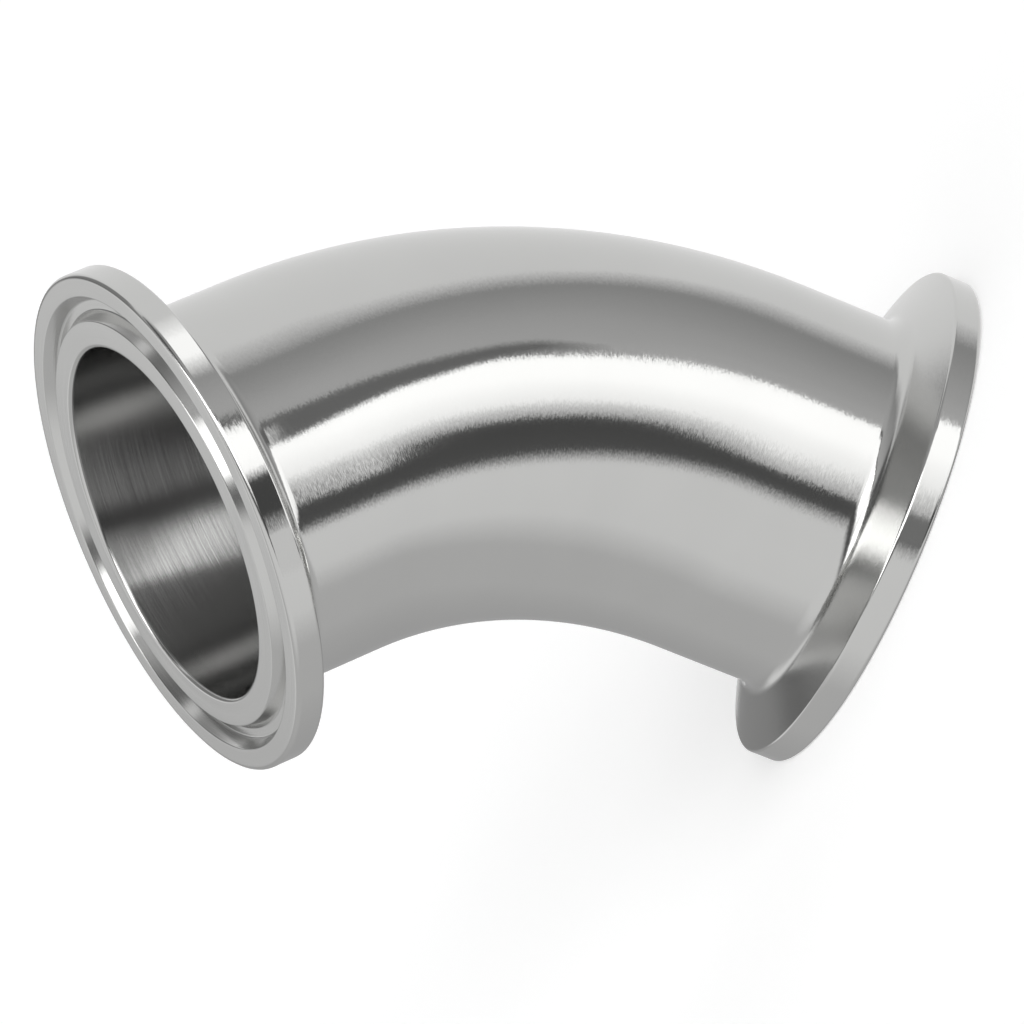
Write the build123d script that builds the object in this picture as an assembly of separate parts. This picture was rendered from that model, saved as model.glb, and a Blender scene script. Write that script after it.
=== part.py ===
from build123d import *
import os
from math import cos, radians, sin, tan

# Sanitary clamp elbow: a 45 degree bend of thin tube with a clamp ferrule at each end.
# Millimetres and degrees. The base port's sealing face lies on the XY plane with its
# centre at the origin, and the flow path climbs +Z before it bends over towards +X.

# Tube and bend
tube_od = 38.1
wall = 1.2
bend_angle = 45.0
bend_radius = 57.15
# Straight stretch at each end, from the sealing face to the start of the bend
tangent_length = 15.0

# Clamp flange, whose back slopes down to the tube at the angle of the clamp's jaws
flange_projection = 6.2
rim_thickness = 2.85
back_angle = 20.0
neck_fillet = 1.6
rim_back_break = 0.35
rim_face_break = 0.25
mouth_break = 0.4

# Gasket groove in the sealing face
outer_land = 2.2
groove_width = 2.45
groove_depth = 1.3
groove_wall_angle = 27.0

tube_r = tube_od / 2
bore_r = tube_r - wall
flange_r = tube_r + flange_projection


def groove_points():
    """The gasket groove's four corners, from the inner land across to the outer land."""
    outer = flange_r - outer_land
    inner = outer - groove_width
    slope = groove_depth * tan(radians(groove_wall_angle))
    return [(inner, 0), (inner + slope, groove_depth), (outer - slope, groove_depth), (outer, 0)]


def ferrule_section():
    """Half section through one port: radius along X, distance behind the face along Y."""
    mouth = (bore_r, 0)
    rim_face = (flange_r, 0)
    rim_back = (flange_r, rim_thickness)
    neck = (tube_r, rim_thickness + flange_projection * tan(radians(back_angle)))
    weld_line = [(tube_r, tangent_length), (bore_r, tangent_length)]
    outline = Polyline(mouth, *groove_points(), rim_face, rim_back, neck, *weld_line, close=True)
    section = make_face(outline)

    def corner(place):
        return section.vertices().sort_by_distance(place)[0]

    section = chamfer(corner(mouth), mouth_break)
    section = chamfer(corner(rim_face), rim_face_break)
    section = chamfer(corner(rim_back), rim_back_break)
    section = fillet(corner(neck), neck_fillet)
    return section


def ferrule():
    """One port: clamp flange, gasket groove, neck and its straight stretch of tube."""
    return revolve(Plane.XZ * ferrule_section(), Axis.Z)


def bent_tube():
    """The bend itself, a ring section turned about the centre of the bend."""
    ring = Circle(tube_r) - Circle(bore_r)
    bend_axis = Axis((bend_radius, 0, tangent_length), (0, 1, 0))
    return revolve(Pos(0, 0, tangent_length) * ring, bend_axis, bend_angle)


def outlet_location():
    """Where the second port sits: its face centre, with local +Z pointing into the tube."""
    turn = radians(bend_angle)
    x = bend_radius * (1 - cos(turn)) + tangent_length * sin(turn)
    z = tangent_length + bend_radius * sin(turn) + tangent_length * cos(turn)
    return Location((x, 0, z), (0, 180 + bend_angle, 0))


def elbow_body():
    """Both ports joined to the bend, with the welds dressed flush, as one piece."""
    port = ferrule()
    return (port + bent_tube() + outlet_location() * port).clean()


os.makedirs("parts", exist_ok=True)
body = elbow_body()
export_step(body, "parts/elbow_body.step")
print("elbow_body", len(body.solids()), "solid", round(body.volume), "mm3")
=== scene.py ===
# %% [markdown]
# # A 45 degree elbow with a clamp ferrule at each end
#
# A sanitary elbow carries milk, beer or clean water round a gentle corner. It is one
# piece of stainless steel: a bent tube with a flat-faced ferrule welded to each end and
# the welds polished away. The flanges are clamped to the next fitting with a ring gasket
# between them, and the groove in each face holds that gasket.
#
# The CAD model gives the true sizes. It is loaded first and never moved.

# %% Load the imported model
from math import cos, pi, radians, sin, tan

import bpy
import numpy as np
from mathutils import Matrix, Vector


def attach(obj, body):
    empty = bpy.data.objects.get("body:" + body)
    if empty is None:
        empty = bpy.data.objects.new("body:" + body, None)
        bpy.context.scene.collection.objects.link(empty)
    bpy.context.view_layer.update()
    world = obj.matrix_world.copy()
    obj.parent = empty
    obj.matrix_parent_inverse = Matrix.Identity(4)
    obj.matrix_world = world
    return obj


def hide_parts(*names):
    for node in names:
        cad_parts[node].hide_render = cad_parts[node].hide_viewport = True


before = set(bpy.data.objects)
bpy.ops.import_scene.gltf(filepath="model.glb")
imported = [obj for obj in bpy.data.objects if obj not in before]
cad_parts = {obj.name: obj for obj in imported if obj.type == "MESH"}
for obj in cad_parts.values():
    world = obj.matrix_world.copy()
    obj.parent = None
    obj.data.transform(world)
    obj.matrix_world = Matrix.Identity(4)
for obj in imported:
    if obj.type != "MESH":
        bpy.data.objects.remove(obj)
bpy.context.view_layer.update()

# %% [markdown]
# ## The sizes that a fitter would ask for
#
# Tube of 38.1 mm outside diameter, bent on a radius of one and a half diameters, with a
# clamp flange of 50.5 mm. They could be measured off the CAD mesh, but a drawing's own
# numbers are exact and easy to read. So the CAD model's sizes are written out here, in
# millimetres, and the form of the elbow is worked out from them.

# %% Sizes in millimetres
MM = 0.001

TUBE_RADIUS = 19.05
WALL = 1.2
BEND_RADIUS = 57.15
BEND_ANGLE = radians(45)
STRAIGHT = 15.0

FLANGE_RADIUS = 25.25
RIM_THICKNESS = 2.85
BACK_ANGLE = radians(20)

OUTER_LAND = 2.2
GROOVE_WIDTH = 2.45
GROOVE_DEPTH = 1.3
GROOVE_WALL_ANGLE = radians(27)

BORE_RADIUS = TUBE_RADIUS - WALL
PATH_LENGTH = 2 * STRAIGHT + BEND_RADIUS * BEND_ANGLE
print("length of the flow path:", round(PATH_LENGTH, 2), "mm")

# %% [markdown]
# ## The camera
#
# The photograph was taken with a long lens, which keeps the two flanges nearly the same
# size. The elbow stands on one flange here, while the photograph shows it lying over like
# an arch, so the camera is rolled on its side until the picture has the same layout.
#
# A camera could be aimed with a Track To constraint and then rolled by hand. Its three
# axes say the same thing more directly: a matrix with the picture's right, its up and the
# direction back towards the photographer as columns.

# %% Place the camera
# focal length in millimetres
LENS = 210.9
CAMERA_AT = Vector((223.84, 528.84, 134.28)) * MM
TOWARDS_CAMERA = Vector((0.3648, 0.9149, 0.1730)).normalized()
roughly_up = Vector((-0.8869, 0.2849, 0.3637)).normalized()
PICTURE_RIGHT = roughly_up.cross(TOWARDS_CAMERA).normalized()
PICTURE_UP = TOWARDS_CAMERA.cross(PICTURE_RIGHT)

lens_data = bpy.data.cameras.new("photographer")
lens_data.lens = LENS
lens_data.clip_start = 0.01
lens_data.clip_end = 20
camera = bpy.data.objects.new("photographer", lens_data)
bpy.context.scene.collection.objects.link(camera)
axes = Matrix((PICTURE_RIGHT, PICTURE_UP, TOWARDS_CAMERA)).transposed()
camera.matrix_world = Matrix.Translation(CAMERA_AT) @ axes.to_4x4()
bpy.context.scene.camera = camera
print("camera is", round(CAMERA_AT.length, 3), "m from the base port")

# %% [markdown]
# ## One section, carried along the flow path
#
# On a lathe the ferrule is turned to a profile, and the tube is bent round a former. In
# Blender the ferrules could be made with the Screw modifier and the tube with a bevelled
# curve, but then three pieces would have to meet without a seam. Here both are the same
# idea: a closed outline of the metal, given as distance along the flow path and distance
# from it, is swung all the way round the path. The outline runs up the outside, across
# one face, back through the bore and across the other face, so the surface closes on
# itself with no seams or end caps.
#
# A real edge is never perfectly sharp. Each corner of the outline gets a small arc, and
# it is those arcs that catch the thin bright lines round the rims.

# %% The corners of one port
groove_outer = FLANGE_RADIUS - OUTER_LAND
groove_inner = groove_outer - GROOVE_WIDTH
groove_slope = GROOVE_DEPTH * tan(GROOVE_WALL_ANGLE)
neck_depth = RIM_THICKNESS + (FLANGE_RADIUS - TUBE_RADIUS) * tan(BACK_ANGLE)

# depth behind the sealing face, distance from the path, radius of the edge
PORT = np.array([
    (0, BORE_RADIUS, 0.40),                               # mouth of the bore
    (0, groove_inner, 0.12),                              # groove, inner edge
    (GROOVE_DEPTH, groove_inner + groove_slope, 0.25),
    (GROOVE_DEPTH, groove_outer - groove_slope, 0.25),
    (0, groove_outer, 0.12),                              # groove, outer edge
    (0, FLANGE_RADIUS, 0.43),                             # rim, sealing side
    (RIM_THICKNESS, FLANGE_RADIUS, 0.32),                 # rim, back
    (neck_depth, TUBE_RADIUS, 1.6),                       # neck, where the clamp's slope ends
])
outlet = PORT[::-1] * (-1, 1, 1) + (PATH_LENGTH, 0, 0)
corners = np.vstack((PORT, outlet))
print(len(corners), "corners in the outline")


# %% Round the corners
def rounded(corners, steps=6, margin=0.06):
    """Each corner becomes an arc that touches both of its legs. The arc's centre lies on
    the corner's bisector, at radius / sin(half angle), and the arc sweeps from one leg's
    foot to the other's. A point a margin before and after each arc keeps flats flat."""
    place, radius = corners[:, :2], corners[:, 2:]
    back = np.roll(place, 1, 0) - place
    ahead = np.roll(place, -1, 0) - place
    back /= np.linalg.norm(back, axis=1, keepdims=True)
    ahead /= np.linalg.norm(ahead, axis=1, keepdims=True)
    half = np.arccos((back * ahead).sum(1, keepdims=True)) / 2
    reach = radius / np.tan(half)
    middle = (back + ahead) / np.linalg.norm(back + ahead, axis=1, keepdims=True)
    centre = place + middle * radius / np.sin(half)
    first = (place + back * reach - centre)[:, None]
    last = (place + ahead * reach - centre)[:, None]
    turn = (pi - 2 * half)[:, None]
    share = np.linspace(0, 1, steps)[None, :, None]
    arc = (np.sin((1 - share) * turn) * first + np.sin(share * turn) * last) / np.sin(turn)
    before = (place + back * (reach + margin))[:, None]
    after = (place + ahead * (reach + margin))[:, None]
    return np.concatenate((before, centre[:, None] + arc, after), 1)


arcs = rounded(corners)
print("points per corner:", arcs.shape[1])


# %% Close the outline
def leg(start, end, count):
    """Points spread evenly on the straight line between two points, both left out."""
    share = np.linspace(0, 1, count + 2)[1:-1, None]
    return start + (end - start) * share


LEG_POINTS = 72
half_way = len(PORT)
outside = leg(arcs[half_way - 1, -1], arcs[half_way, 0], LEG_POINTS)
inside = leg(arcs[-1, -1], arcs[0, 0], LEG_POINTS)
outline = np.vstack((
    inside[LEG_POINTS // 2:], arcs[:half_way].reshape(-1, 2), outside,
    arcs[half_way:].reshape(-1, 2), inside[:LEG_POINTS // 2],
))
print(len(outline), "points round the outline")


# %% Lay the flow path
def flow_path(distance):
    """A straight, then an arc, then a straight again. The turn is the distance past the
    first straight over the bend radius, held between none and the full bend; whatever is
    left over runs on along the tangent. Returns the point, the direction and the normal
    towards the centre of the bend."""
    turn = np.clip(distance - STRAIGHT, 0, BEND_RADIUS * BEND_ANGLE) / BEND_RADIUS
    rest = (distance - STRAIGHT - BEND_RADIUS * turn)[:, None]
    zero = np.zeros_like(turn)
    along = np.stack((np.sin(turn), zero, np.cos(turn)), -1)
    inward = np.stack((np.cos(turn), zero, -np.sin(turn)), -1)
    over = BEND_RADIUS * (1 - np.cos(turn))
    up = STRAIGHT + BEND_RADIUS * np.sin(turn)
    return np.stack((over, zero, up), -1) + rest * along, along, inward


path_end = flow_path(np.array([PATH_LENGTH]))[0][0]
print("outlet port's centre in mm:", path_end.round(2))

# %% Swing the outline round it
SIDEWAYS = np.array((0.0, 1.0, 0.0))
AROUND = 288


def spokes(angle, inward):
    """Spoke = cos(angle) * inward + sin(angle) * sideways, of length 1."""
    return np.cos(angle)[..., None] * inward + np.sin(angle)[..., None] * SIDEWAYS


def swung(outline, angles):
    """Point = path(distance) + distance from the path * spoke(angle)."""
    centre, _, inward = flow_path(outline[:, 0])
    return centre[:, None] + outline[:, 1][:, None, None] * spokes(angles, inward[:, None])


surface = swung(outline, np.arange(AROUND) * 2 * pi / AROUND)
print("points on the surface:", surface.shape[0] * surface.shape[1])

# %% [markdown]
# ## From grid to mesh
#
# The real elbow's wall has an outside and an inside that meet at the two mouths, so its
# whole skin is one surface. Every point of the grid joins its neighbours, and both
# directions wrap round, which gives the mesh the topology of a ring doughnut. A thin sheet
# with a Solidify modifier could make the tube, but a ferrule isn't of one thickness.
#
# The finishes need to know where they are. A UV map's first axis runs around the tube and
# its second follows the outline. It jumps where the circle closes, so a vector has the
# same information without the jump. Polishing marks follow these directions, as they do
# on the real fitting. Two more numbers say what is a flange's back, and how steeply the
# marks in the bore lean.

# %% Join the grid into faces
def next_one(count):
    """The index of each item's neighbour on a ring."""
    return (np.arange(count) + 1) % count


def ring_mesh(name, points):
    """Quads between neighbours on a grid that closes both ways, wound to face out."""
    rows, cols = points.shape[:2]
    index = np.arange(rows * cols).reshape(rows, cols)
    up = index[next_one(rows)]
    quads = np.stack((index, index[:, next_one(cols)], up[:, next_one(cols)], up), -1)
    mesh = bpy.data.meshes.new(name)
    mesh.vertices.add(rows * cols)
    mesh.vertices.foreach_set("co", (points * MM).ravel())
    mesh.loops.add(quads.size)
    mesh.loops.foreach_set("vertex_index", quads.ravel())
    mesh.polygons.add(rows * cols)
    mesh.polygons.foreach_set("loop_start", np.arange(0, quads.size, 4))
    mesh.polygons.foreach_set("use_smooth", np.ones(rows * cols, bool))
    return mesh


elbow_mesh = ring_mesh("elbow_polished", surface)
print(len(elbow_mesh.polygons), "faces,", 2 * len(elbow_mesh.polygons), "triangles")


# %% Map the polishing marks
def corner_places(outline, cols):
    """For each corner of each quad, the length along the outline, which is the sum of the
    steps before it, and the angle around the tube. Both run on past the last row and
    column instead of going back to 0."""
    step = np.linalg.norm(np.roll(outline, -1, 0) - outline, axis=1)
    length = np.append(0, np.cumsum(step))
    angle = np.arange(cols + 1) * 2 * pi / cols
    row = np.arange(len(outline))[:, None, None] + np.array((0, 0, 1, 1))
    col = np.arange(cols)[None, :, None] + np.array((0, 1, 1, 0))
    row, col = np.broadcast_arrays(row, col)
    return length[row] * MM, angle[col]


along, around = corner_places(outline, AROUND)
tube = TUBE_RADIUS * MM
uv = elbow_mesh.uv_layers.new(name="polish_map")
uv.data.foreach_set("uv", np.stack((tube * around, along), -1).ravel())
marks = elbow_mesh.attributes.new("polish_marks", "FLOAT_VECTOR", "CORNER")
on_circle = (along, tube * np.cos(around), tube * np.sin(around))
marks.data.foreach_set("vector", np.stack(on_circle, -1).ravel())
print("length of the outline:", round(along.max() / MM, 1), "mm")

# %% Find the backs of the flanges
NECK_FADE = 0.8
RIM_FADE_START = 0.3
RIM_FADE_END = 0.1


def smooth_step(value, low, high):
    """0 below low, 1 above high, and 3 t squared minus 2 t cubed between them."""
    share = np.clip((value - low) / (high - low), 0, 1)
    return share * share * (3 - 2 * share)


def behind_face(place):
    """Depth behind the nearer sealing face: the smaller of the ways to the two ends."""
    return np.minimum(place, PATH_LENGTH - place)


def on_back(outline):
    """1 on the sloping back of a flange, and 0 on its rim, on the tube and in the bore:
    a smooth step off the tube, times one off the rim, for what lies behind the rim."""
    place, radius = outline.T
    off_tube = smooth_step(radius, TUBE_RADIUS, TUBE_RADIUS + NECK_FADE)
    off_rim = 1 - smooth_step(radius, FLANGE_RADIUS - RIM_FADE_START, FLANGE_RADIUS - RIM_FADE_END)
    return off_tube * off_rim * (behind_face(place) > RIM_THICKNESS)


satin = elbow_mesh.attributes.new("satin_back", "FLOAT", "POINT")
satin.data.foreach_set("value", np.repeat(on_back(outline), AROUND))
print("rows of points on the backs:", np.count_nonzero(on_back(outline)))

# %% Say how the bore's marks lean
LEAN_AT_MOUTH = 0.175
LEAN_PER_MM = 0.0144
LEAN_FADE_START = 16
LEAN_FADE_END = 34


def towards_mouth(outline):
    """How steeply the bore's marks lean to the nearer mouth: the depth times a rate, plus
    what they have at the mouth, fading out before the middle of the elbow. It is positive
    in the base port and negative in the outlet. Only the bore's finish makes use of it."""
    place = outline[:, 0]
    depth = behind_face(place)
    fade = 1 - smooth_step(depth, LEAN_FADE_START, LEAN_FADE_END)
    return np.sign(PATH_LENGTH / 2 - place) * (LEAN_AT_MOUTH + LEAN_PER_MM * depth) * fade


mouth = elbow_mesh.attributes.new("to_mouth", "FLOAT", "POINT")
mouth.data.foreach_set("value", np.repeat(towards_mouth(outline), AROUND))
print("steepest lean:", towards_mouth(outline).max().round(3))

# %% Put the elbow in the scene
elbow_mesh.update(calc_edges=True)
print("the mesh had to be mended:", elbow_mesh.validate())
elbow = bpy.data.objects.new("elbow_polished", elbow_mesh)
bpy.context.scene.collection.objects.link(elbow)

# %% [markdown]
# ## Writing shader maths as plain expressions
#
# A material is a graph of nodes. It could be wired node by node, but such lists are slow
# to read. One small class holds a socket and lets Python's own operators add the Math
# nodes, so that a finish reads like a sum, and one method adds every other kind of node.

# %% A socket that does sums
class Value:
    """A number or colour on its way through a node tree."""

    def __init__(self, sheet, socket):
        self.sheet, self.socket = sheet, socket

    def maths(self, operation, first, second):
        """Adds a Math node on two values or numbers, and returns its result."""
        made = self.sheet.node("ShaderNodeMath", {"operation": operation}, {0: first, 1: second})
        return made["Value"]

    def __add__(self, other):
        return self.maths("ADD", self, other)

    def __radd__(self, other):
        return self.maths("ADD", other, self)

    def __sub__(self, other):
        return self.maths("SUBTRACT", self, other)

    def __rsub__(self, other):
        return self.maths("SUBTRACT", other, self)

    def __mul__(self, other):
        return self.maths("MULTIPLY", self, other)

    def __rmul__(self, other):
        return self.maths("MULTIPLY", other, self)


print("a socket can be added, subtracted and multiplied")


# %% A sheet to draw nodes on
class Sheet:
    """The node tree of a material or of the world, emptied and ready to be drawn on."""

    def __init__(self, owner):
        self.owner = owner
        owner.use_nodes = True
        self.tree = owner.node_tree
        self.tree.nodes.clear()

    def node(self, kind, settings=None, inputs=None):
        """Adds one node, applies its settings, then sets or links its sockets. Returns
        its outputs by name. Where two share a name, the one that is in use counts."""
        made = self.tree.nodes.new(kind)
        for name, value in (settings or {}).items():
            if name == "stops":
                self.stops(made.color_ramp, value)
            else:
                setattr(made, name, value)
        for name, value in (inputs or {}).items():
            if isinstance(value, Value):
                self.tree.links.new(value.socket, made.inputs[name])
            else:
                made.inputs[name].default_value = value
        outputs = sorted(made.outputs, key=lambda out: out.enabled)
        return {out.name: Value(self, out) for out in outputs}

    @staticmethod
    def stops(ramp, stops):
        """Sets a ramp's stops from pairs of a place and a grey level."""
        for extra in list(ramp.elements)[1:]:
            ramp.elements.remove(extra)
        for number, (place, grey) in enumerate(stops):
            element = ramp.elements[0] if number == 0 else ramp.elements.new(place)
            element.position = place
            element.color = (grey, grey, grey, 1)


print("a sheet is ready for any node")

# %% [markdown]
# ## Three finishes on one piece of steel
#
# The outside is buffed until it mirrors the studio, but the buffing wheel leaves fine
# specks that fray the edge of every reflection. The sloping backs of the flanges, which
# the wheel hardly reaches, stay more satin. The sealing faces are turned on a lathe and
# are softer again. The bore was drawn and then honed, and is the roughest of the three.
#
# An anisotropic shader could smear the reflections, but it shows no single mark, and the
# marks are what tells brushed steel from grey plastic. So each finish has one recipe with
# its own amounts. Noise that is stretched around the tube gives threads, or specks where
# it is short. One such noise tips the surface around the tube, in the tangent space of
# the UV map. A finer and longer one tips it along the tube and makes it more or less dull,
# and a broad cloud makes its tone a little uneven.
#
# A honed wall is made of tiny ridges, and what the eye sees of them near a mouth is the
# side that faces out. So the bore's surface also leans to its mouth, the more the deeper
# it lies, until the lean fades out before the middle of the elbow. The bore's colour is
# also painted darker, as painted shade for light that has bounced between its walls and
# lost some each time.

# %% Noise drawn out into threads
START_SHARES = (1.0, 0.37, 0.71)
FRAY_START = 3.0
GRAIN_START = 11.0
CLOUD_START = 23.0


def threads(sheet, across, length, start):
    """Noise drawn out around the tube: thread width across and length in millimetres. The
    marks' place is divided by them, and start moves each noise to a part of its own."""
    marks = sheet.node("ShaderNodeAttribute", {"attribute_name": "polish_marks"})["Vector"]
    placed = sheet.node("ShaderNodeMapping", {}, {
        "Vector": marks, "Location": tuple(start * share for share in START_SHARES),
        "Scale": (1 / (across * MM), 1 / (length * MM), 1 / (length * MM)),
    })["Vector"]
    return sheet.node("ShaderNodeTexNoise", {}, {
        "Vector": placed, "Scale": 1.0, "Detail": 2.0, "Roughness": 0.6,
    })["Fac"]


def tipped(sheet, around, along):
    """A normal that leans around and along the tube, in the UV map's tangent space. A
    normal map reads 0.5 as no lean, and what is added to it is half of the slope."""
    tip = sheet.node("ShaderNodeCombineColor", {}, {
        "Red": 0.5 + around, "Green": 0.5 + along, "Blue": 1.0,
    })["Color"]
    return sheet.node("ShaderNodeNormalMap", {"uv_map": "polish_map"}, {
        "Strength": 1.0, "Color": tip,
    })["Normal"]


print("the three noises start at", FRAY_START, GRAIN_START, CLOUD_START)

# %% One recipe for steel
STEEL = (0.62, 0.62, 0.61)
GRAIN_FINER = 0.6
GRAIN_LONGER = 2
CLOUD_WIDTH = 9.0
CLOUD_LENGTH = 14.0
CLOUD_DEPTH = 0.06
SATIN_MORE = 0.12


def steel(name, dullness, dull_spread, tip_around, tip_along, width, length,
          lean_out=0.0, painted_shade=1.0):
    """Bare steel with polishing marks around the tube. Each noise is 0.5 at its middle, so
    what it is over or under 0.5, times an amount, is a lean or a change of roughness. With
    lean_out the marks also face the nearer mouth of the bore, and the last factor darkens
    its colour as painted shade."""
    material = bpy.data.materials.new(name)
    sheet = Sheet(material)
    fray = threads(sheet, width, length, FRAY_START)
    grain = threads(sheet, width * GRAIN_FINER, length * GRAIN_LONGER, GRAIN_START)
    cloud = threads(sheet, CLOUD_WIDTH, CLOUD_LENGTH, CLOUD_START)
    to_mouth = sheet.node("ShaderNodeAttribute", {"attribute_name": "to_mouth"})["Fac"]
    satin = sheet.node("ShaderNodeAttribute", {"attribute_name": "satin_back"})["Fac"]
    # the cloud gives a random tone, and the last factor darkens the colour as painted shade
    tone_and_painted_shade = (1 - CLOUD_DEPTH / 2 + CLOUD_DEPTH * cloud) * painted_shade
    scaled = sheet.node("ShaderNodeVectorMath", {"operation": "SCALE"}, {0: STEEL, "Scale": tone_and_painted_shade})
    shader = sheet.node("ShaderNodeBsdfPrincipled", {}, {
        "Base Color": scaled["Vector"],
        "Metallic": 1.0,
        "Roughness": dullness + (grain - 0.5) * dull_spread + SATIN_MORE * satin,
        "Normal": tipped(
            sheet,
            around=(fray - 0.5) * tip_around,
            along=(grain - 0.5) * tip_along + to_mouth * (lean_out / 2),
        ),
    })["BSDF"]
    sheet.node("ShaderNodeOutputMaterial", {}, {"Surface": shader})
    print(name, "has", len(sheet.tree.nodes), "nodes")
    return material


print("bare steel mirrors", STEEL, "of the red, green and blue")

# %% Make the three finishes
buffed = steel(
    "buffed_outside", dullness=0.10, dull_spread=0.04,
    tip_around=0.028, tip_along=0.03, width=0.16, length=0.30,
)
turned = steel(
    "turned_face", dullness=0.17, dull_spread=0.06,
    tip_around=0.01, tip_along=0.05, width=0.05, length=30.0,
)
# the bore's colour is darkened to 0.40 as painted shade for light lost between its walls
honed = steel(
    "honed_bore_painted_shade", dullness=0.19, dull_spread=0.04,
    tip_around=0.02, tip_along=0.08, width=0.03, length=6.0, lean_out=1.0, painted_shade=0.40,
)
for finish in (buffed, turned, honed):
    elbow_mesh.materials.append(finish)
print("finishes:", [finish.name for finish in elbow_mesh.materials])

# %% Give each stretch of the outline its finish
BUFFED, TURNED, HONED = range(3)
A_HAIR = 0.01
# the outermost tenth of a millimetre of a face is buffed together with its rim
EDGE_BAND = 0.1

middle = (outline + np.roll(outline, -1, 0)) / 2
depth = (behind_face(outline[:, 0]) + behind_face(np.roll(outline[:, 0], -1))) / 2
is_bore = middle[:, 1] < BORE_RADIUS + A_HAIR
is_face = (depth < GROOVE_DEPTH + A_HAIR) & (middle[:, 1] < FLANGE_RADIUS - EDGE_BAND)
finish_of = np.where(is_bore, HONED, np.where(is_face, TURNED, BUFFED))
elbow_mesh.polygons.foreach_set("material_index", np.repeat(finish_of, AROUND).astype(np.int32))
elbow_mesh.update()
print("stretches buffed, turned, honed:", np.bincount(finish_of))

# %% [markdown]
# ## The studio that the steel mirrors
#
# Polished metal has hardly a look of its own: it shows the room. The photographer set a
# long softbox in front of the elbow, a dark board above it and black cloth below, with
# pale walls all round. Lamps and boards could be built and placed one by one. Here the
# world itself is that room, because one list of heights is easier to correct than a dozen
# objects. How high a direction points in the picture, from the camera's own height at 0
# degrees, over the top at 90 to behind the elbow at 180, picks a brightness from a ramp.
# There is one ramp for the front and one for the picture's left side.

# %% How bright the room is at each height
def ramp_place(degrees):
    """Where a ramp is read for a height: 0 at -180 degrees, 0.5 at 0 and 1 at 180."""
    return (degrees + 180) / 360


def room_stops(levels):
    """Ramp stops from pairs of degrees above the camera's line and brightness."""
    return [(ramp_place(degrees), level) for degrees, level in levels]


FRONT = room_stops([
    (-180, 0.27), (-176, 0.30), (-166, 0.41), (-156, 0.43), (-140, 0.49), (-115, 0.58),
    (-84, 0.59), (-62, 0.82), (-30, 0.85),              # from behind, below and to the front
    (-21, 0.10), (3, 0.08),                             # black cloth
    (6, 0.62), (11, 0.88), (15, 1.35), (20, 1.42), (30, 1.60), (43, 1.65),        # softbox
    (44.5, 0.05), (46.5, 0.05),                         # the dark gap over it
    (48.5, 0.54), (70, 0.42), (92, 0.33),               # dark board
    (101, 0.60), (110, 0.84), (180, 0.86),              # pale wall, over the top and behind
])
BESIDE = room_stops([
    (-180, 0.25), (-172, 0.40), (-166, 0.90), (-150, 0.90), (-120, 0.60), (-84, 0.59),
    (-62, 0.82), (-30, 0.85),                           # from behind, below and to the front
    (-21, 0.10), (3, 0.08),                             # black cloth
    (11, 2.00), (20, 3.30), (43, 3.30),                 # the near end of the softbox
    (45, 0.10), (75, 0.10), (99, 0.12),                 # black board
    (104, 0.80), (112, 0.80),                           # a pale strip of wall
    (118, 0.28), (180, 0.25),                           # dark beyond it
])
print("levels in front and beside:", len(FRONT), len(BESIDE))

# %% Ask which way a ray goes
world = bpy.data.worlds.new("studio")
bpy.context.scene.world = world
bpy.context.scene.view_settings.view_transform = "Standard"
studio = Sheet(world)
direction = studio.node("ShaderNodeTexCoord")["Generated"]


def part_along(axis):
    """How far a direction points along an axis: the dot product of the two."""
    dot = {"operation": "DOT_PRODUCT"}
    return studio.node("ShaderNodeVectorMath", dot, {0: direction, 1: axis})["Value"]


upwards = part_along(PICTURE_UP)
sideways = part_along(PICTURE_RIGHT)
backwards = part_along(TOWARDS_CAMERA)
height = upwards.maths("ARCTAN2", upwards, backwards) * (0.5 / pi) + 0.5
print("nodes that ask for the direction:", len(studio.tree.nodes))


# %% Pick out a part of the room
def between(value, low, high, at_low=0.0, at_high=1.0):
    """A smooth change from one level to another as a value goes from low to high."""
    return value.sheet.node("ShaderNodeMapRange", {"interpolation_type": "SMOOTHSTEP"}, {
        "Value": value, "From Min": low, "From Max": high, "To Min": at_low, "To Max": at_high,
    })["Result"]


def within(value, start, full, fading, end):
    """1 from full to fading, 0 before start and after end, smooth between: one change up
    times one change down."""
    return between(value, start, full) * between(value, fading, end, 1, 0)


def heights(*degrees):
    """Degrees above the camera's line as places on a ramp."""
    return [ramp_place(angle) for angle in degrees]


def sides(*degrees):
    """Degrees to the picture's right, or to its left below 0, as their sines, which is how
    far such a direction points along that axis."""
    return [sin(radians(angle)) for angle in degrees]


def mixed(share, first, second):
    """The first colour where the share is 0 and the second where it is 1."""
    sockets = {0: share, 6: first, 7: second}
    return studio.node("ShaderNodeMix", {"data_type": "RGBA"}, sockets)["Result"]


is_front = between(sideways, *sides(-44, -33))
print("the side ramp gives way to the front ramp between", np.round(sides(-44, -33), 2))

# %% [markdown]
# ## Boards that hang a little askew
#
# A real softbox or board is seldom hung quite level, and its reflection slants. A board
# that was built as an object would simply be turned. In a painted room, each edge that
# slants in the photograph's reflections is a little shift of the height before the ramp
# reads it, and it changes with how far sideways the direction points. Each shift keeps to
# its own range of heights, so that it moves its own edges and leaves the others.

# %% Shift the slanting edges
def slant(side_range, shifts):
    """A shift of the height that goes from one number of degrees to another between two
    directions sideways."""
    return between(sideways, *sides(*side_range), *(shift / 360 for shift in shifts))


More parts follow.
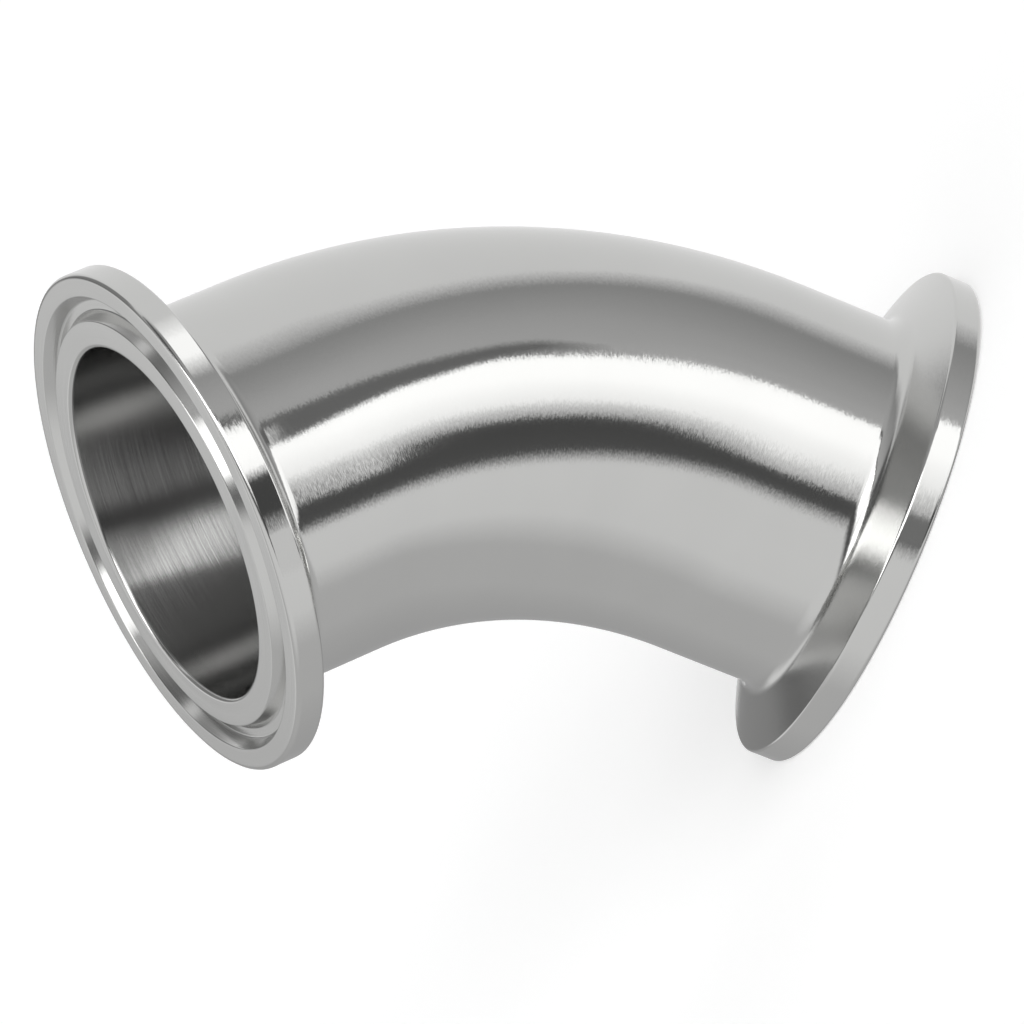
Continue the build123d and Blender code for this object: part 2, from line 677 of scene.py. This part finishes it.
# the dark board, the black cloth, the softbox, and then its top edge and its lower one
board_slant = slant((3, 26), (18, -9)) * between(height, *heights(48, 76))
cloth_slant = slant((14, 48), (-11, 0)) * within(height, *heights(-45, -28, -10, 0))
soft_slant = slant((3, 20), (13, 0)) * within(height, *heights(-12, 10, 50, 76))
top_slant = slant((30, 34), (0, -6)) * within(height, *heights(30, 40, 54, 66))
foot_left = slant((23, 33), (8, 0)) * between(sideways, *sides(12, 18))
foot_right = slant((43, 50), (0, 13))
foot_slant = (foot_left + foot_right) * within(height, *heights(-14, -2, 8, 22))
reading = height + board_slant + cloth_slant + soft_slant + top_slant + foot_slant
print("nodes in the room with its slants:", len(studio.tree.nodes))

# %% [markdown]
# ## Light and dark that the ramps leave out
#
# The softbox is brighter to the left, where it stands nearer. The dark gap over it closes
# to the right, and a dark patch hangs behind the elbow on the left. Each could be a lamp
# or a board of its own. In a painted room each is one product: a range of directions
# sideways times a range of heights.
#
# The backdrop is white for the camera, for light that has come through something, and
# for the mirror of what lies straight behind the elbow. Anywhere else the steel mirrors
# the room, because a polished part that mirrors only white loses its form.

# %% Paint the room
BOARD_GREY = (0.54, 0.54, 0.54, 1)
SOFTBOX_GLOW = 1.8
DARK_BEHIND = 0.66

front = studio.node("ShaderNodeValToRGB", {"stops": FRONT}, {"Fac": reading})["Color"]
beside = studio.node("ShaderNodeValToRGB", {"stops": BESIDE}, {"Fac": reading})["Color"]
gap_closed = between(sideways, *sides(29, 32)) * within(reading, *heights(43.5, 44.5, 47.5, 49.5))
room = mixed(gap_closed, mixed(is_front, beside, front), BOARD_GREY)
glow = within(sideways, *sides(-24, -14, -2, 12)) * within(reading, *heights(9, 22, 41, 44))
behind = between(sideways, *sides(-18, -8), 1, 0) * between(height, *heights(172, 178))
strength = 1.0 + SOFTBOX_GLOW * glow - DARK_BEHIND * behind
print("nodes in the painted room:", len(studio.tree.nodes))

# %% Hang the white backdrop
WHITE = (1, 1, 1, 1)
# degrees off straight behind: white up to the first, and none of it beyond the second
BACKDROP_CONE = (5, 9)

rays = studio.node("ShaderNodeLightPath")
cone = [-cos(radians(angle)) for angle in BACKDROP_CONE]
backdrop = between(backwards, *cone, 1, 0)
sees_white = rays["Is Camera Ray"] + rays["Is Transmission Ray"] + rays["Is Glossy Ray"] * backdrop
shader = studio.node("ShaderNodeMixShader", {}, {
    0: sees_white,
    1: studio.node("ShaderNodeBackground", {}, {"Color": room, "Strength": strength})["Background"],
    2: studio.node("ShaderNodeBackground", {}, {"Color": WHITE, "Strength": 1.0})["Background"],
})["Shader"]
studio.node("ShaderNodeOutputWorld", {}, {"Surface": shader})
print("the finished room has", len(studio.tree.nodes), "nodes")

# %% [markdown]
# ## Small cards held close to the steel
#
# Photographers often hold small white or black cards close to an edge, out of the
# picture, so that it gets a crisp stroke of light or dark. More patches could be painted
# in the room, but the room is endlessly far away, so all steel that faces one way mirrors
# the same patch. So the cards are real meshes. Two pale cards and a black one shape the
# stripes on the rim of the near flange, a grey one softens the dark stripe on the far rim,
# and a dark strip thickens the line above the tube's bright band where it runs up to the
# near flange.
#
# A card has to be where the steel mirrors it to the camera: from a point on the steel,
# follow the camera's line of sight after it bounces. Turning a little further round the
# rim turns the bounced ray twice as far, which gives a rim card its length. Each card is
# only there for what meets it squarely, so that views from elsewhere find little of it in
# the steel.

# %% Follow the camera's sight off the steel
FAR_RIM = RIM_THICKNESS / 2
NEAR_RIM = PATH_LENGTH - FAR_RIM
CARD_AWAY = 15.0


def sight_from(point):
    """The direction from a point on the steel to the camera, of length 1."""
    sight = np.array(CAMERA_AT) / MM - point
    return sight / np.linalg.norm(sight, axis=-1, keepdims=True)


def bounced(point, spoke):
    """The camera's sight after the steel turns it away: twice the spoke times their dot
    product, minus the sight."""
    sight = sight_from(point)
    return 2 * (spoke * sight).sum(-1, keepdims=True) * spoke - sight


print("sight from the outlet port:", sight_from(path_end).round(3))


# %% Cut a card
def card_mesh(name, points, solid):
    """Quads between neighbours on an open grid. Solid is 0 where the card has faded to
    nothing and 1 where it is whole."""
    rows, cols = points.shape[:2]
    index = np.arange(rows * cols).reshape(rows, cols)
    quads = np.stack((index[:-1, :-1], index[:-1, 1:], index[1:, 1:], index[1:, :-1]), -1)
    mesh = bpy.data.meshes.new(name)
    mesh.from_pydata((points.reshape(-1, 3) * MM).tolist(), [], quads.reshape(-1, 4).tolist())
    share = mesh.attributes.new("solid", "FLOAT", "POINT")
    share.data.foreach_set("value", np.broadcast_to(solid, (rows, cols)).ravel())
    return mesh


print("each card is", CARD_AWAY, "mm away from the steel")

# %% Paint it and put it up
# Facing is 0 for a ray that meets the card squarely, and 1 for one that grazes it
SQUARE = 0.06
NOT_SQUARE = 0.12


def card_paint(name, light):
    """A plain glow where the card is solid and is met squarely, like a card behind a
    honeycomb grid, and nothing at all elsewhere."""
    sheet = Sheet(bpy.data.materials.new(name))
    there = sheet.node("ShaderNodeAttribute", {"attribute_name": "solid"})["Fac"]
    facing = sheet.node("ShaderNodeLayerWeight", {}, {"Blend": 0.5})["Facing"]
    shader = sheet.node("ShaderNodeMixShader", {}, {
        0: there * between(facing, SQUARE, NOT_SQUARE, 1, 0),
        1: sheet.node("ShaderNodeBsdfTransparent", {}, {"Color": WHITE})["BSDF"],
        2: sheet.node("ShaderNodeEmission", {}, {"Color": WHITE, "Strength": light})["Emission"],
    })["Shader"]
    sheet.node("ShaderNodeOutputMaterial", {}, {"Surface": shader})
    return sheet.owner


def card_from(name, points, solid, light):
    """A card through a grid of points, which only the steel's reflections can find."""
    card = bpy.data.objects.new(name, card_mesh(name, points, solid))
    bpy.context.scene.collection.objects.link(card)
    card.visible_camera = card.visible_diffuse = card.visible_shadow = False
    card.data.materials.append(card_paint(name, light))
    print(name, "is held at", points.mean((0, 1)).round(1), "mm")


print("a card fades out between", SQUARE, "and", NOT_SQUARE, "off square")

# %% Hold a card for each stripe on the rims
CARD_WIDTH = 6.0


def hold_card(name, rim, turn, span, light, soft):
    """A card for one of the rims, at a turn round it in degrees. It stands across the
    bounced ray. Half its length is the distance away times the tangent of the span, for
    the ray's double turn, plus the rim's own arc. A soft share of it fades out."""
    end, _, inward = (row[0] for row in flow_path(np.array([rim])))
    spoke = spokes(radians(turn), inward)
    onward = cos(radians(turn)) * SIDEWAYS - sin(radians(turn)) * inward
    rim_point = end + FLANGE_RADIUS * spoke
    sight = sight_from(rim_point)
    bounce = bounced(rim_point, spoke)
    lengthwise = (onward @ sight) * spoke + (spoke @ sight) * onward
    lengthwise /= np.linalg.norm(lengthwise)
    across = np.cross(bounce, lengthwise)
    half = CARD_AWAY * tan(radians(span)) + FLANGE_RADIUS * radians(span / 2)
    stations = half * np.array((-1, soft - 1, 1 - soft, 1))[:, None, None]
    edges = CARD_WIDTH / 2 * np.array((-1, 1))[None, :, None]
    points = rim_point + CARD_AWAY * bounce + stations * lengthwise + edges * across
    card_from(name, points, np.array([[0], [1], [1], [0]]), light)


hold_card("card_white", NEAR_RIM, turn=114.5, span=16, light=1.5, soft=0.7)
hold_card("card_black", NEAR_RIM, turn=77.5, span=12, light=0.08, soft=0.4)
hold_card("card_pale", NEAR_RIM, turn=65.5, span=11, light=0.80, soft=0.3)
hold_card("card_grey", FAR_RIM, turn=69.0, span=8, light=0.23, soft=0.4)

# %% Hold a strip for the dark line
STRIP_LIGHT = 0.18
LOW_FADE = 0.7
HIGH_FADE = 1.0

# distance along the flow path, lower and upper angle round the tube
DARK_LINE = np.array([
    (33, 94.8, 96.8), (40, 94.0, 96.6), (44, 92.8, 96.4), (49, 91.0, 95.6),
    (55, 90.0, 95.3), (61, 89.1, 95.3), (67, 88.2, 95.3), (71, 87.5, 95.3),
])


def hold_strip(name, place, low, high, light):
    """A flat strip for the tube. It darkens or lightens the tube between two angles round
    it, at each place along the flow path: each of its points is where the bounced ray of a
    point on the tube meets one plane, which stands square to the middle ray."""
    edges = (low - LOW_FADE, low + LOW_FADE, high - HIGH_FADE, high + HIGH_FADE)
    centre, _, inward = flow_path(place)
    spoke = spokes(np.radians(np.stack(edges, -1)), inward[:, None])
    start = centre[:, None] + TUBE_RADIUS * spoke
    bounce = bounced(start, spoke)
    aim = bounce.mean((0, 1))
    aim /= np.linalg.norm(aim)
    away = (CARD_AWAY + (start.mean((0, 1)) - start) @ aim) / (bounce @ aim)
    fade = np.ones(len(place))
    fade[[0, -1]] = 0
    card_from(name, start + away[..., None] * bounce, fade[:, None] * np.array((0, 1, 1, 0)), light)


hold_strip("strip_black", *DARK_LINE.T, STRIP_LIGHT)

# %% [markdown]
# ## The floor
#
# A pale sheet that keeps the elbow's soft shadow. It could be lit until it burns out to
# white, but so much light would bleach the steel too. So the camera sees it as white
# paper by other means: its own grey under the room's light, topped up by a little glow
# that only the camera sees. The steel looks straight through it to the room, which goes
# on below.

# %% Cut a round sheet of paper
FLOOR_SIZE = 6000.0
# just under the base port, so that the two never share a plane
FLOOR_DROP = 0.05
FLOOR_RINGS = 12
FLOOR_AROUND = 64


def disc_mesh(name, radius, height, rings, around):
    """Point = distance * (cos(angle), sin(angle)) at one height, the distance growing
    with the square of the ring's number. The middle is one fan of triangles."""
    far = radius * (np.arange(1, rings + 1)[:, None] / rings) ** 2
    turn = np.arange(around) * 2 * pi / around
    circle = (far * np.cos(turn), far * np.sin(turn), np.full((rings, around), height))
    points = np.vstack(((0, 0, height), np.stack(circle, -1).reshape(-1, 3))) * MM
    index = 1 + np.arange(rings * around).reshape(rings, around)
    side = np.roll(index, -1, 1)
    fan = np.stack((np.zeros(around, int), index[0], side[0]), -1)
    quads = np.stack((index[:-1], index[1:], side[1:], side[:-1]), -1).reshape(-1, 4)
    mesh = bpy.data.meshes.new(name)
    mesh.from_pydata(points.tolist(), [], fan.tolist() + quads.tolist())
    return mesh


floor_mesh = disc_mesh("floor", FLOOR_SIZE / 2, -FLOOR_DROP, FLOOR_RINGS, FLOOR_AROUND)
floor = bpy.data.objects.new("floor", floor_mesh)
bpy.context.scene.collection.objects.link(floor)
print("floor faces:", len(floor_mesh.polygons))

# %% Give it its paper
PAPER = (0.8, 0.8, 0.8, 1)
PAPER_GLOW = 0.40

sheet = Sheet(bpy.data.materials.new("white_paper"))
rays = sheet.node("ShaderNodeLightPath")
topping = {"Color": rays["Is Camera Ray"] * PAPER_GLOW, "Strength": 1.0}
lit_paper = sheet.node("ShaderNodeAddShader", {}, {
    0: sheet.node("ShaderNodeBsdfDiffuse", {}, {"Color": PAPER})["BSDF"],
    1: sheet.node("ShaderNodeEmission", {}, topping)["Emission"],
})["Shader"]
shader = sheet.node("ShaderNodeMixShader", {}, {
    0: rays["Is Glossy Ray"],
    1: lit_paper,
    2: sheet.node("ShaderNodeBsdfTransparent", {}, {"Color": WHITE})["BSDF"],
})["Shader"]
sheet.node("ShaderNodeOutputMaterial", {}, {"Surface": shader})
floor_mesh.materials.append(sheet.owner)
print("nodes in the paper:", len(sheet.tree.nodes))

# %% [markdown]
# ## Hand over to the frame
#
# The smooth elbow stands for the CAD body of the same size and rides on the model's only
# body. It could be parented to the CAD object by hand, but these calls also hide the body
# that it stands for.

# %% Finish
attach(elbow, "root")
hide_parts("elbow_body")
